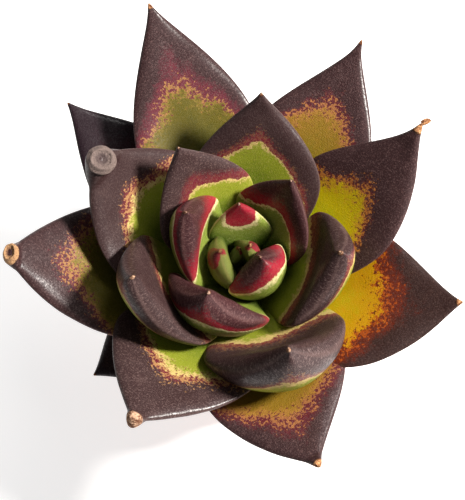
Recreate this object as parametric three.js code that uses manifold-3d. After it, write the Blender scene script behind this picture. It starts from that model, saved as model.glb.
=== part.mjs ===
// A small rosette succulent growing in a plain clay pot. Millimetres, +Z up,
// origin at the centre of the pot's flat base. The plant has no moving parts.
import * as THREE from 'three';
import { mergeVertices } from 'three/addons/utils/BufferGeometryUtils.js';
import Module from 'manifold-3d';

// ---- pot ----
const POT_HEIGHT = 47;
const BASE_RADIUS = 21;
const RIM_RADIUS = 32;
const COLLAR_HEIGHT = 13;
const COLLAR_STEP = 2.2;
const WALL = 3;
const FLOOR = 4;
const EDGE = 0.8;
const DRAIN_HOLES = 3;
const DRAIN_RADIUS = 2.2;
const DRAIN_CIRCLE = 11;
const POT_SEGMENTS = 48;

// ---- soil and stem ----
const SOIL_DROP = 3.2;
const SOIL_DOME = 1.1;
const STEM_ROOT_RADIUS = 4.2;
const STEM_ROOT_DEPTH = 8;
const STEM_SEGMENTS = 20;

// ---- fits and meshing ----
const GAP = 0.3;
const BLADE_RINGS = 8;
const AROUND = 10;

// ---- leaves, oldest and lowest first ----
// azimuth and sweep turn the leaf about the plant; startPitch and endPitch are
// its slope above the level at the root and at the point.
const CROWN_LOW = { radius: 9.0, height: 54 };
const CROWN_HIGH = { radius: 2.5, height: 63 };
const RANKS = 22;
// Leaves that curl up over the heart end in a thick, blunt point.
const CURLED = { ease: 1.3, cup: 0.25, point: 1.1, plump: 0.43, swell: 0.42, bead: 0.45, reach: 1.8 };
const SHORT_LEAVES = [
  { azimuth: 18, length: 34, width: 27, thickness: 4.2, startPitch: -5, endPitch: 12 },
  { azimuth: 252, length: 28, width: 25, thickness: 4.2, startPitch: -5, endPitch: 10 },
  { azimuth: 318, length: 28, width: 25, thickness: 4.2, startPitch: -6, endPitch: 8 },
  { azimuth: 84, length: 38, width: 27, thickness: 4.2, startPitch: -4, endPitch: 14 },
];
const ROSETTE_LEAVES = [
  { azimuth: 216, length: 40, width: 27, thickness: 5, startPitch: 0, endPitch: 14 },
  { azimuth: 136, length: 60, width: 30, thickness: 5, startPitch: 6, endPitch: 22 },
  { azimuth: 283, length: 53.5, width: 39, thickness: 5.5, startPitch: 8, endPitch: 22, sweep: 18, rank: 3,
    bead: 1.0, reach: 1.6 },
  { azimuth: 342, length: 53.5, width: 40, thickness: 5.5, startPitch: 10, endPitch: 26, sweep: 16 },
  { azimuth: 60, length: 65, width: 35, thickness: 5.5, startPitch: 14, endPitch: 34, sweep: 4, point: 1.5 },
  { azimuth: 109, length: 71.5, width: 34, thickness: 6, startPitch: 18, endPitch: 34, sweep: 5 },
  { azimuth: 186, length: 61, width: 38, thickness: 6, startPitch: 15, endPitch: 40, sweep: -6,
    point: 0.95, bead: 1.9, reach: 1.9 },
  { azimuth: 25, length: 59.5, width: 33, thickness: 6, startPitch: 20, endPitch: 48, sweep: 24,
    point: 1.45, bead: 0.9, reach: 4 },
  { azimuth: 240, length: 57, width: 40, thickness: 6, startPitch: 15, endPitch: 42, sweep: 2,
    bead: 1.8, reach: 1.8 },
  { azimuth: 156, length: 52, width: 39, thickness: 6, startPitch: 24, endPitch: 70, ease: 1.3, sweep: -12,
    point: 1.05, bead: 2.8, reach: 3.2 },
  { azimuth: 81, length: 48, width: 35, thickness: 6, startPitch: 34, endPitch: 68, ease: 1.3, sweep: 6 },
  { azimuth: 290, length: 52, width: 38, thickness: 9.5, startPitch: 5, endPitch: 108, sweep: -8, ...CURLED },
  { azimuth: 208, length: 47, width: 34, thickness: 7.5, startPitch: 18, endPitch: 100, sweep: -4, ...CURLED },
  { azimuth: 349, length: 38, width: 33, thickness: 7.5, startPitch: 20, endPitch: 100, sweep: -8, ...CURLED },
  { azimuth: 128, length: 41, width: 29, thickness: 5.5, startPitch: 44, endPitch: 74, ease: 1.3 },
  { azimuth: 242, length: 35, width: 29, thickness: 8, startPitch: 25, endPitch: 114, sweep: 4, ...CURLED,
    cup: 0.3 },
  { azimuth: 48, length: 33, width: 24, thickness: 5, startPitch: 50, endPitch: 84, ease: 1.4 },
  { azimuth: 161, length: 33, width: 25, thickness: 7, startPitch: 43, endPitch: 102, sweep: 14, ...CURLED,
    point: 1.25 },
  { azimuth: 315, length: 23, width: 19, thickness: 7.5, startPitch: 42, endPitch: 120, ...CURLED,
    cup: 0.3, radius: 1 },
  { azimuth: 96, length: 23.5, width: 17, thickness: 4.2, startPitch: 64, endPitch: 88, ease: 1.3 },
  { azimuth: 199, length: 19, width: 16, thickness: 5.5, startPitch: 62, endPitch: 96, ease: 1.2, radius: 2.2,
    plump: 0.45 },
  { azimuth: 33, length: 14, width: 11, thickness: 4.5, startPitch: 78, endPitch: 92, ease: 1.2, radius: 0.8,
    plump: 0.45 },
  { azimuth: 120, length: 11, width: 8, thickness: 4, startPitch: 78, endPitch: 90, radius: 0.6, rank: 20,
    plump: 0.45 },
];
const LEAF_DEFAULTS = {
  sweep: 0, ease: 1, cup: 0.18, point: 1.25, bead: 0.6, reach: 2.6, plump: 0.6, swell: 0.16,
};

const MATERIALS = {
  clay: new THREE.MeshStandardMaterial({ color: 0xb5673f, roughness: 0.85 }),
  soil: new THREE.MeshStandardMaterial({ color: 0x3a2c22, roughness: 1.0 }),
  stem: new THREE.MeshStandardMaterial({ color: 0x8a8a55, roughness: 0.7 }),
  oldLeaf: new THREE.MeshStandardMaterial({ color: 0x5a3c40, roughness: 0.5 }),
  youngLeaf: new THREE.MeshStandardMaterial({ color: 0x86a050, roughness: 0.5 }),
};

const wasm = await Module();
wasm.setup();

// ---- solids: joining and cutting ----
function weld(geometry) {
  const bare = geometry.clone();
  bare.deleteAttribute('normal');
  bare.deleteAttribute('uv');
  return mergeVertices(bare, 1e-4);
}

function toSolid(geometry) {
  const welded = weld(geometry);
  const mesh = new wasm.Mesh({
    numProp: 3,
    vertProperties: new Float32Array(welded.attributes.position.array),
    triVerts: new Uint32Array(welded.index.array),
  });
  return new wasm.Manifold(mesh);
}

function toGeometry(solid) {
  const mesh = solid.getMesh();
  const geometry = new THREE.BufferGeometry();
  geometry.setAttribute('position', new THREE.BufferAttribute(new Float32Array(mesh.vertProperties), 3));
  geometry.setIndex(new THREE.BufferAttribute(new Uint32Array(mesh.triVerts), 1));
  return geometry;
}

// The volume enclosed by a list of triangles, from signed tetrahedra.
function volumeOf(position, triangles) {
  const corners = [new THREE.Vector3(), new THREE.Vector3(), new THREE.Vector3()];
  let volume = 0;
  for (const triangle of triangles) {
    triangle.forEach((vertex, i) => corners[i].fromBufferAttribute(position, vertex));
    volume += corners[0].dot(corners[1].clone().cross(corners[2])) / 6;
  }
  return volume;
}

// Cutting can leave crumbs beside the real piece; only the largest is kept.
function largestPiece(geometry) {
  const index = geometry.index.array;
  const position = geometry.attributes.position;
  const parent = Array.from({ length: position.count }, (_, i) => i);
  const find = (i) => {
    let root = i;
    while (parent[root] !== root) {
      root = parent[root];
    }
    parent[i] = root;
    return root;
  };
  for (let t = 0; t < index.length; t += 3) {
    parent[find(index[t + 1])] = find(index[t]);
    parent[find(index[t + 2])] = find(index[t]);
  }
  const pieces = new Map();
  for (let t = 0; t < index.length; t += 3) {
    const root = find(index[t]);
    if (!pieces.has(root)) {
      pieces.set(root, []);
    }
    pieces.get(root).push([index[t], index[t + 1], index[t + 2]]);
  }
  const ranked = [...pieces.values()].sort((a, b) => volumeOf(position, b) - volumeOf(position, a));
  const kept = new THREE.BufferGeometry();
  kept.setAttribute('position', position.clone());
  kept.setIndex(ranked[0].flat());
  return mergeVertices(kept, 1e-5);
}

// The same surface pushed outward along its normals, to cut a clear fit.
function grown(geometry, distance) {
  const wide = geometry.clone();
  wide.computeVertexNormals();
  const position = wide.attributes.position;
  const normal = wide.attributes.normal;
  for (let i = 0; i < position.count; i += 1) {
    position.setXYZ(
      i,
      position.getX(i) + normal.getX(i) * distance,
      position.getY(i) + normal.getY(i) * distance,
      position.getZ(i) + normal.getZ(i) * distance,
    );
  }
  return wide;
}

// ---- leaf shape ----
function smooth(x) {
  const t = THREE.MathUtils.clamp(x, 0, 1);
  return t * t * (3 - 2 * t);
}

// Half width as a share of the widest, from root (0) to point (1).
function bladeWidth(share, point) {
  const rootWidth = 0.5;
  const widestAt = 0.46;
  const belly = 1.75;
  if (share < widestAt) {
    const rise = Math.sin(0.5 * Math.PI * (share / widestAt));
    return rootWidth + (1 - rootWidth) * rise ** 1.2;
  }
  const past = (share - widestAt) / (1 - widestAt);
  return Math.max(0, 1 - past ** belly) ** point;
}

function directionAt(leaf, share) {
  const pitch = THREE.MathUtils.degToRad(leaf.startPitch + (leaf.endPitch - leaf.startPitch) * share ** leaf.ease);
  const azimuth = THREE.MathUtils.degToRad(leaf.azimuth + leaf.sweep * share ** 1.5);
  const along = new THREE.Vector3(
    Math.cos(pitch) * Math.cos(azimuth),
    Math.cos(pitch) * Math.sin(azimuth),
    Math.sin(pitch),
  );
  const side = new THREE.Vector3(-Math.sin(azimuth), Math.cos(azimuth), 0);
  return { along, side, face: along.clone().cross(side) };
}

// Midline points of a leaf at the given shares of its length.
function midline(leaf, shares) {
  const steps = 200;
  const azimuth = THREE.MathUtils.degToRad(leaf.azimuth);
  const point = new THREE.Vector3(leaf.radius * Math.cos(azimuth), leaf.radius * Math.sin(azimuth), leaf.height);
  const path = [point.clone()];
  for (let i = 0; i < steps; i += 1) {
    point.addScaledVector(directionAt(leaf, (i + 0.5) / steps).along, leaf.length / steps);
    path.push(point.clone());
  }
  return shares.map((share) => {
    const at = Math.min(share * steps, steps - 1e-6);
    const low = Math.floor(at);
    return path[low].clone().lerp(path[low + 1], at - low);
  });
}

// One cross-section: a flat lens, cupped upwards, with a keel under it.
function crossSection(leaf, share, centre) {
  const { along, side, face } = directionAt(leaf, share);
  const reach = leaf.reach / leaf.length;
  const beadAt = (share - (1 - reach)) / reach;
  const bead = leaf.bead * Math.sqrt(Math.max(0, 1 - beadAt * beadAt));
  const blade = bladeWidth(share, leaf.point);
  const halfWidth = Math.hypot((leaf.width / 2) * blade, bead);
  const fullness = blade ** leaf.plump * (0.55 + 0.45 * smooth(share / 0.3));
  const thickness = Math.hypot(leaf.thickness * fullness, 2 * bead);
  const cup = leaf.cup * halfWidth * (0.3 + 0.7 * smooth(share / 0.5)) * (1 - 0.9 * smooth((share - 0.5) / 0.45));
  const keel = 1 + 0.3 * smooth((share - 0.3) / 0.7);
  const shoulder = 0.36 + leaf.swell * smooth((share - 0.4) / 0.4);
  const ring = [];
  for (let j = 0; j < AROUND; j += 1) {
    const angle = (2 * Math.PI * j) / AROUND;
    const across = Math.cos(angle);
    const up = Math.sin(angle);
    const inside = shoulder * thickness * Math.max(0, 1 - across ** 4) ** 0.6;
    const rise = up >= 0 ? inside : -0.68 * thickness * Math.abs(up) ** keel;
    const lift = cup * Math.abs(across) ** 2.2 + rise;
    ring.push(centre.clone().addScaledVector(side, halfWidth * across).addScaledVector(face, lift));
  }
  return ring;
}

function leafGeometry(leaf) {
  const beadStart = 1 - leaf.reach / leaf.length;
  const shares = [];
  for (let k = 0; k < BLADE_RINGS; k += 1) {
    shares.push((beadStart * k) / (BLADE_RINGS - 1));
  }
  shares.push(beadStart + 0.6 * (1 - beadStart));
  const centres = midline(leaf, [...shares, 1]);
  const tip = centres[shares.length];
  const points = shares.flatMap((share, k) => crossSection(leaf, share, centres[k]));
  const rootCentre = points.length;
  points.push(centres[0], tip);
  const index = [];
  for (let j = 0; j < AROUND; j += 1) {
    const next = (j + 1) % AROUND;
    index.push(rootCentre, next, j);
    for (let k = 0; k < shares.length - 1; k += 1) {
      const a = k * AROUND;
      const b = a + AROUND;
      index.push(a + j, a + next, b + next);
      index.push(a + j, b + next, b + j);
    }
    const last = (shares.length - 1) * AROUND;
    index.push(last + j, last + next, rootCentre + 1);
  }
  const geometry = new THREE.BufferGeometry().setFromPoints(points);
  geometry.setIndex(index);
  return geometry;
}

// ---- pot, soil and stem ----
function lathe(profile, segments) {
  const geometry = new THREE.LatheGeometry(profile.map(([r, z]) => new THREE.Vector2(r, z)), segments);
  return weld(geometry.rotateX(Math.PI / 2));
}

function outerRadius(height) {
  const under = RIM_RADIUS - COLLAR_STEP;
  return BASE_RADIUS + (under - BASE_RADIUS) * (height / (POT_HEIGHT - COLLAR_HEIGHT));
}

function innerRadius(height) {
  const low = outerRadius(FLOOR) - WALL;
  const high = RIM_RADIUS - WALL - 1;
  return low + (high - low) * ((height - FLOOR) / (POT_HEIGHT - FLOOR));
}

function potGeometry() {
  const collar = POT_HEIGHT - COLLAR_HEIGHT;
  const profile = [
    [0, 0],
    [BASE_RADIUS - EDGE, 0],
    [BASE_RADIUS, EDGE],
    [outerRadius(collar), collar],
    [RIM_RADIUS - EDGE, collar],
    [RIM_RADIUS - 0.3, collar + EDGE],
    [RIM_RADIUS, POT_HEIGHT - EDGE],
    [RIM_RADIUS - EDGE, POT_HEIGHT],
    [innerRadius(POT_HEIGHT) + EDGE, POT_HEIGHT],
    [innerRadius(POT_HEIGHT - EDGE), POT_HEIGHT - EDGE],
    [innerRadius(FLOOR), FLOOR],
    [0, FLOOR],
  ];
  let pot = toSolid(lathe(profile, POT_SEGMENTS));
  for (let k = 0; k < DRAIN_HOLES; k += 1) {
    const angle = Math.PI / 2 + (2 * Math.PI * k) / DRAIN_HOLES;
    const hole = new THREE.CylinderGeometry(DRAIN_RADIUS, DRAIN_RADIUS, FLOOR + 2, 16);
    hole.rotateX(Math.PI / 2);
    hole.translate(DRAIN_CIRCLE * Math.cos(angle), DRAIN_CIRCLE * Math.sin(angle), FLOOR / 2);
    pot = pot.subtract(toSolid(hole));
  }
  return toGeometry(pot);
}

function soilGeometry() {
  const top = POT_HEIGHT - SOIL_DROP;
  const bottom = FLOOR + GAP;
  const socket = STEM_ROOT_RADIUS + GAP;
  const socketFloor = top - STEM_ROOT_DEPTH - GAP;
  const profile = [
    [0, bottom],
    [innerRadius(bottom) - GAP, bottom],
    [innerRadius(top) - GAP, top],
    [innerRadius(top) * 0.75, top + SOIL_DOME * 0.55],
    [innerRadius(top) * 0.45, top + SOIL_DOME],
    [socket + 1.2, top + SOIL_DOME * 0.8],
    [socket, top + SOIL_DOME * 0.4],
    [socket, socketFloor],
    [0, socketFloor],
  ];
  return lathe(profile, 36);
}

function stemGeometry() {
  const soil = POT_HEIGHT - SOIL_DROP;
  const profile = [
    [0, soil - STEM_ROOT_DEPTH],
    [STEM_ROOT_RADIUS * 0.7, soil - STEM_ROOT_DEPTH],
    [STEM_ROOT_RADIUS, soil - STEM_ROOT_DEPTH + 1.5],
    [STEM_ROOT_RADIUS, soil + 1.5],
    [6.4, soil + 5],
    [8.6, 52.5],
    [8.8, 55],
    [7.2, 58],
    [4.6, 61],
    [2.6, 63.4],
    [0, 64.6],
  ];
  return lathe(profile, STEM_SEGMENTS);
}

// ---- the whole plant ----
function allLeaves() {
  const low = SHORT_LEAVES.map((leaf) => ({ ...LEAF_DEFAULTS, radius: 8, height: 51.5, ...leaf }));
  const high = ROSETTE_LEAVES.map((leaf, order) => {
    const f = (leaf.rank ?? order) / RANKS;
    const radius = THREE.MathUtils.lerp(CROWN_LOW.radius, CROWN_HIGH.radius, f);
    const height = THREE.MathUtils.lerp(CROWN_LOW.height, CROWN_HIGH.height, f);
    return { ...LEAF_DEFAULTS, radius, height, ...leaf };
  });
  return [...low, ...high];
}

function named(name, geometry, material) {
  const plain = geometry.clone();
  plain.computeVertexNormals();
  const mesh = new THREE.Mesh(plain, material);
  mesh.name = name;
  return mesh;
}

const group = new THREE.Group();
group.name = 'potted_succulent';
group.add(named('pot', potGeometry(), MATERIALS.clay));
group.add(named('soil', soilGeometry(), MATERIALS.soil));
const stem = stemGeometry();
group.add(named('stem', stem, MATERIALS.stem));

// Each leaf is cut clear of the stem and of every younger leaf above it,
// so the list is walked from the heart of the plant outwards.
const leaves = allLeaves();
const shapes = leaves.map(leafGeometry);
let taken = toSolid(stem).add(toSolid(grown(stem, GAP)));
const cut = [];
for (let i = leaves.length - 1; i >= 0; i -= 1) {
  const whole = toSolid(shapes[i]);
  cut[i] = largestPiece(toGeometry(whole.subtract(taken)));
  taken = taken.add(whole).add(toSolid(grown(shapes[i], GAP)));
}
cut.forEach((geometry, i) => {
  const material = i < leaves.length / 2 ? MATERIALS.oldLeaf : MATERIALS.youngLeaf;
  group.add(named(`leaf_${String(i + 1).padStart(2, '0')}`, geometry, material));
});

export default group;
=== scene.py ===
"""A rosette succulent in a plain clay pot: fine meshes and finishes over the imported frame.

Lengths in the dataclasses are millimetres and angles are degrees; meshes are written in metres.
"""

from __future__ import annotations

import logging
import math
import random
from dataclasses import dataclass, field, fields
from enum import Enum

import bpy
import numpy as np
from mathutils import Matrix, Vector, noise

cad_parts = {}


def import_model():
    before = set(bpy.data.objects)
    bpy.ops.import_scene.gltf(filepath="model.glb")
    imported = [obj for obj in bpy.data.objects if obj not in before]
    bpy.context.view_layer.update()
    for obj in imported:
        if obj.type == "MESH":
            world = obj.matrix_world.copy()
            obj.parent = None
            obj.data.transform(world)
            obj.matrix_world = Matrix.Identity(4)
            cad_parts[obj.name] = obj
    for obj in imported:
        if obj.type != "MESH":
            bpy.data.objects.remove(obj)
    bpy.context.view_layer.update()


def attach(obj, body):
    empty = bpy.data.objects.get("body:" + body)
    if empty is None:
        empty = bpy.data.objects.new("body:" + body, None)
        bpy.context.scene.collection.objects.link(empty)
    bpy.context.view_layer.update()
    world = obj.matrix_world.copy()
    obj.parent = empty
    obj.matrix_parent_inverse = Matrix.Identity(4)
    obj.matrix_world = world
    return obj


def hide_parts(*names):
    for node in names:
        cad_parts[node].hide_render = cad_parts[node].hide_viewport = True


LOG = logging.getLogger("succulent")
MM = 0.001
Colour = tuple[float, float, float, float]
Socket = bpy.types.NodeSocket
BLACK = (0.0, 0.0, 0.0, 1.0)
NIPPLE = 0.7


def paint(red: int, green: int, blue: int) -> Colour:
    """Turns a colour as it is seen, 0 to 255, into a shader colour.

    Args:
        red, green, blue: the colour on a screen.

    Returns:
        The same colour in linear light, with full alpha.
    """
    seen = [shade / 255 for shade in (red, green, blue)]
    linear = [(c / 12.92) if c < 0.0404 else ((c + 0.055) / 1.055) ** 2.4 for c in seen]
    return (linear[0], linear[1], linear[2], 1.0)


def smooth(x: np.ndarray | float) -> np.ndarray | float:
    """Eases x from 0 to 1 with level ends."""
    t = np.clip(x, 0, 1)
    return t * t * (3 - 2 * t)


# ---------------------------------------------------------------- shader wiring


class Wiring:
    """Adds shader nodes to one tree and joins them, so that a finish reads as a list of steps."""

    def __init__(self, tree: bpy.types.NodeTree) -> None:
        """Keeps the tree that the nodes go into."""
        self.tree = tree
        self.count = 0

    def node(self, kind: str, **settings: object) -> bpy.types.Node:
        """Adds a node.

        Args:
            kind: the node's type name.
            settings: its properties, such as operation or data_type.

        Returns:
            The new node.
        """
        made = self.tree.nodes.new(kind)
        self.count += 1
        made.location = (180 * (self.count % 12), -220 * (self.count // 12))
        for name, value in settings.items():
            setattr(made, name, value)
        return made

    def feed(self, socket: Socket, value: object) -> None:
        """Joins a socket to another one, or sets its value.

        Args:
            socket: the input socket.
            value: an output socket, a number or a colour.
        """
        if isinstance(value, Socket):
            self.tree.links.new(value, socket)
        else:
            socket.default_value = value

    def maths(self, operation: str, *values: object, clamp: bool = False) -> Socket:
        """Does one step of arithmetic.

        Args:
            operation: the Math node's operation.
            values: sockets or numbers, in the node's order.
            clamp: whether the result is kept from 0 to 1.

        Returns:
            The result socket.
        """
        made = self.node("ShaderNodeMath", operation=operation, use_clamp=clamp)
        for socket, value in zip(made.inputs, values):
            self.feed(socket, value)
        return made.outputs[0]

    def times(self, first: object, *others: object) -> Socket:
        """Multiplies sockets and numbers.

        Args:
            first, others: what is multiplied, from left to right.

        Returns:
            The product socket.
        """
        for other in others:
            first = self.maths("MULTIPLY", first, other)
        return first

    def between(self, low: object, high: object, share: object) -> Socket:
        """Goes evenly from low to high as share goes from 0 to 1."""
        return self.maths("MULTIPLY_ADD", share, self.maths("SUBTRACT", high, low), low)

    def spread(
        self, value: object, low: object, high: object, start: float = 0.0, end: float = 1.0
    ) -> Socket:
        """Maps low..high to start..end with eased ends.

        Args:
            value, low, high: sockets or numbers.
            start, end: what low and high become.

        Returns:
            The result socket.
        """
        made = self.node("ShaderNodeMapRange", interpolation_type="SMOOTHSTEP")
        names = ("Value", "From Min", "From Max", "To Min", "To Max")
        for name, given in zip(names, (value, low, high, start, end)):
            self.feed(made.inputs[name], given)
        return made.outputs["Result"]

    def blend(self, factor: object, below: object, above: object) -> Socket:
        """Lays one colour over another.

        Args:
            factor: how much of the upper colour shows, as a socket or a number.
            below, above: the two colours, as sockets or values.

        Returns:
            The result socket.
        """
        made = self.node("ShaderNodeMix", data_type="RGBA")
        self.feed(made.inputs[0], factor)
        self.feed(made.inputs[6], below)
        self.feed(made.inputs[7], above)
        return made.outputs[2]

    def grain(
        self, vector: object, scale: float, detail: float = 3.0, rough: float = 0.55, twist: float = 0.0
    ) -> Socket:
        """Adds a noise pattern.

        Args:
            vector: the coordinates that it reads.
            scale, detail, rough, twist: the Noise node's scale, detail, roughness and distortion.

        Returns:
            Its value socket, which averages about a half.
        """
        made = self.node("ShaderNodeTexNoise")
        self.feed(made.inputs["Vector"], vector)
        made.inputs["Scale"].default_value = scale
        made.inputs["Detail"].default_value = detail
        made.inputs["Roughness"].default_value = rough
        made.inputs["Distortion"].default_value = twist
        return made.outputs["Fac"]

    def swing(self, vector: object, scale: float, detail: float, rough: float, twist: float) -> Socket:
        """Adds a noise pattern that swings about nothing, and returns its value."""
        return self.maths("SUBTRACT", self.grain(vector, scale, detail, rough, twist), 0.5)

    def attribute(self, name: str, output: str = "Fac") -> Socket:
        """Reads a named attribute of the mesh."""
        return self.node("ShaderNodeAttribute", attribute_name=name).outputs[output]

    def place(self) -> Socket:
        """Reads where a point is on the plant, in metres."""
        return self.node("ShaderNodeTexCoord").outputs["Object"]


def new_group(
    name: str, inputs: dict[str, object], outputs: dict[str, str]
) -> tuple[Wiring, bpy.types.Node, bpy.types.Node]:
    """Starts a shader node group.

    Args:
        name: the group's name.
        inputs: input names with their default values; a number makes a float socket, a tuple a colour.
        outputs: output names with their socket types.

    Returns:
        Its wiring, which holds the tree, and its input and output nodes.
    """
    tree = bpy.data.node_groups.new(name, "ShaderNodeTree")
    for label, value in inputs.items():
        kind = "NodeSocketFloat" if isinstance(value, (int, float)) else "NodeSocketColor"
        socket = tree.interface.new_socket(name=label, in_out="INPUT", socket_type=kind)
        socket.default_value = value
    for label, kind in outputs.items():
        tree.interface.new_socket(name=label, in_out="OUTPUT", socket_type=kind)
    wiring = Wiring(tree)
    return wiring, wiring.node("NodeGroupInput"), wiring.node("NodeGroupOutput")


def new_material(name: str) -> tuple[bpy.types.Material, Wiring, bpy.types.Node]:
    """Starts a material.

    Args:
        name: the material's name.

    Returns:
        The material, its wiring and its Principled shader.
    """
    material = bpy.data.materials.new(name)
    material.use_nodes = True
    material.node_tree.nodes.clear()
    wiring = Wiring(material.node_tree)
    shader = wiring.node("ShaderNodeBsdfPrincipled")
    sink = wiring.node("ShaderNodeOutputMaterial")
    material.node_tree.links.new(shader.outputs[0], sink.inputs[0])
    return material, wiring, shader


def add_bump(wiring: Wiring, shader: bpy.types.Node, height: object, depth: float) -> None:
    """Feeds a height into the shader's normal.

    Args:
        wiring, shader: the material.
        height: the height socket.
        depth: metres from the lowest to the highest.
    """
    bump = wiring.node("ShaderNodeBump")
    bump.inputs["Strength"].default_value = 1.0
    bump.inputs["Distance"].default_value = depth
    wiring.feed(bump.inputs["Height"], height)
    wiring.feed(shader.inputs["Normal"], bump.outputs["Normal"])


# ---------------------------------------------------------------- meshes


def read_points(mesh: bpy.types.Mesh) -> np.ndarray:
    """Reads where a mesh's points are.

    Args:
        mesh: the mesh.

    Returns:
        One row of x, y and z for each point, in the mesh's own units.
    """
    flat = np.empty(len(mesh.vertices) * 3)
    mesh.vertices.foreach_get("co", flat)
    return flat.reshape(-1, 3)


def write_points(mesh: bpy.types.Mesh, points: np.ndarray) -> None:
    """Moves a mesh's points to these places, given in millimetres."""
    mesh.vertices.foreach_set("co", (points * MM).ravel())


def store(mesh: bpy.types.Mesh, label: str, values: np.ndarray) -> None:
    """Keeps one number for each point as an attribute for a finish to read."""
    mesh.attributes.new(label, "FLOAT", "POINT").data.foreach_set("value", values.astype(np.float32))


def unit_ball(name: str, segments: int, rings: int) -> tuple[bpy.types.Object, np.ndarray]:
    """Starts a piece as a ball, to be drawn out into its shape.

    Args:
        name: the piece's name.
        segments, rings: how finely it is divided, round its poles and from one to the other.

    Returns:
        The piece, and its points on a ball of radius 1.
    """
    bpy.ops.object.select_all(action="DESELECT")
    bpy.ops.mesh.primitive_uv_sphere_add(
        segments=segments, ring_count=rings, radius=1.0, location=(0, 0, 0),
    )
    piece = bpy.context.active_object
    piece.name = piece.data.name = name
    return piece, read_points(piece.data)


def turned(name: str, outline: list[tuple[float, float]], segments: int) -> bpy.types.Object:
    """Turns a solid on the plant's axis by drawing one disc out along an outline.

    Args:
        name: the piece's name.
        outline: radius and height of every ring in millimetres, from the first end to the last.
        segments: points round each ring.

    Returns:
        The closed piece, in object mode.
    """
    radius, height = outline[0]
    bpy.ops.object.select_all(action="DESELECT")
    bpy.ops.mesh.primitive_circle_add(
        vertices=segments, radius=radius * MM, fill_type="NGON", location=(0, 0, 0),
    )
    piece = bpy.context.active_object
    piece.name = piece.data.name = name
    bpy.ops.object.mode_set(mode="EDIT")
    bpy.ops.mesh.select_all(action="SELECT")
    bpy.ops.transform.translate(value=(0, 0, height * MM))
    for next_radius, next_height in outline[1:]:
        bpy.ops.mesh.extrude_region_move(
            TRANSFORM_OT_translate={"value": (0, 0, (next_height - height) * MM)},
        )
        ratio = next_radius / radius
        bpy.ops.transform.resize(value=(ratio, ratio, 1), center_override=(0, 0, 0))
        radius, height = next_radius, next_height
    bpy.ops.mesh.select_all(action="SELECT")
    bpy.ops.mesh.normals_make_consistent(inside=False)
    bpy.ops.object.mode_set(mode="OBJECT")
    return piece


def declare(piece: bpy.types.Object, node: str) -> None:
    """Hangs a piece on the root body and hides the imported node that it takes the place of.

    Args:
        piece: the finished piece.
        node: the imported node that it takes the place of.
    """
    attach(piece, "root")
    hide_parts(node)
    LOG.info("%s: %d faces", piece.name, len(piece.data.polygons))


# ---------------------------------------------------------------- leaf skin


class LeafTone(Enum):
    """Which family of colours a leaf wears."""

    SHADED = "shaded"
    OLIVE = "olive"
    TAN = "tan"
    # LIME_PAINTED_GLOW and GOLD_PAINTED_GLOW carry painted glow: their roots are a brighter, more saturated
    # yellow, standing in for light shining through the leaf
    LIME_PAINTED_GLOW = "lime"
    GOLD_PAINTED_GLOW = "gold"
    FRESH = "fresh"
    YOUNG = "young"
    HEART = "heart"


@dataclass(frozen=True)
class LeafColours:
    """The colours of one leaf, from its root to its dry point."""

    deep: Colour
    green: Colour
    pale: Colour
    fleck: Colour
    band: Colour
    dark: Colour = paint(44, 26, 27)
    frost: Colour = paint(98, 72, 70)
    dry: Colour = paint(196, 142, 98)


PALETTE = {
    LeafTone.SHADED: LeafColours(
        paint(48, 42, 18), paint(76, 68, 28), paint(96, 78, 42), paint(80, 46, 32), paint(46, 8, 20),
        paint(26, 12, 19), paint(42, 27, 33),
    ),
    LeafTone.OLIVE: LeafColours(
        paint(56, 56, 6), paint(78, 70, 14), paint(108, 90, 34), paint(132, 94, 54), paint(84, 30, 40),
    ),
    LeafTone.TAN: LeafColours(
        paint(94, 84, 10), paint(114, 86, 20), paint(134, 94, 40), paint(136, 88, 50), paint(78, 26, 32),
    ),
    # painted glow: the root colours of LIME_PAINTED_GLOW and GOLD_PAINTED_GLOW are brightened and saturated
    # as if light from the right shone through the leaf
    LeafTone.LIME_PAINTED_GLOW: LeafColours(
        paint(126, 138, 0), paint(152, 134, 0), paint(152, 112, 26), paint(142, 88, 38), paint(74, 24, 24),
    ),
    LeafTone.GOLD_PAINTED_GLOW: LeafColours(
        paint(138, 126, 0), paint(154, 112, 0), paint(150, 92, 4), paint(128, 56, 10), paint(78, 22, 6),
        paint(36, 19, 17), paint(74, 50, 42),
    ),
    LeafTone.FRESH: LeafColours(
        paint(62, 80, 6), paint(112, 120, 28), paint(176, 152, 98), paint(150, 112, 70), paint(90, 24, 34),
        paint(47, 31, 31), paint(112, 90, 86), paint(196, 158, 130),
    ),
    LeafTone.YOUNG: LeafColours(
        paint(52, 74, 8), paint(106, 120, 44), paint(200, 188, 138), paint(160, 100, 82), paint(128, 18, 36),
        paint(52, 27, 29), paint(112, 80, 77), paint(204, 168, 148),
    ),
    LeafTone.HEART: LeafColours(
        paint(56, 70, 22), paint(92, 98, 44), paint(112, 104, 58), paint(120, 80, 58), paint(112, 32, 38),
        paint(66, 22, 26), paint(118, 66, 62),
    ),
}


@dataclass(frozen=True)
class LeafPattern:
    """Where the dark point begins, as shares of the leaf, and how it meets the green, in millimetres."""

    tone: LeafTone
    front: float = 0.6
    back: float = 0.55
    left: float = 0.35
    right: float = 0.35
    ragged: float = 1.0
    fringe: float = 4.0
    freckles: float = 1.0
    band: float = 4.0
    dry: float = 0.8
    bloom: float = 1.0


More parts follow.
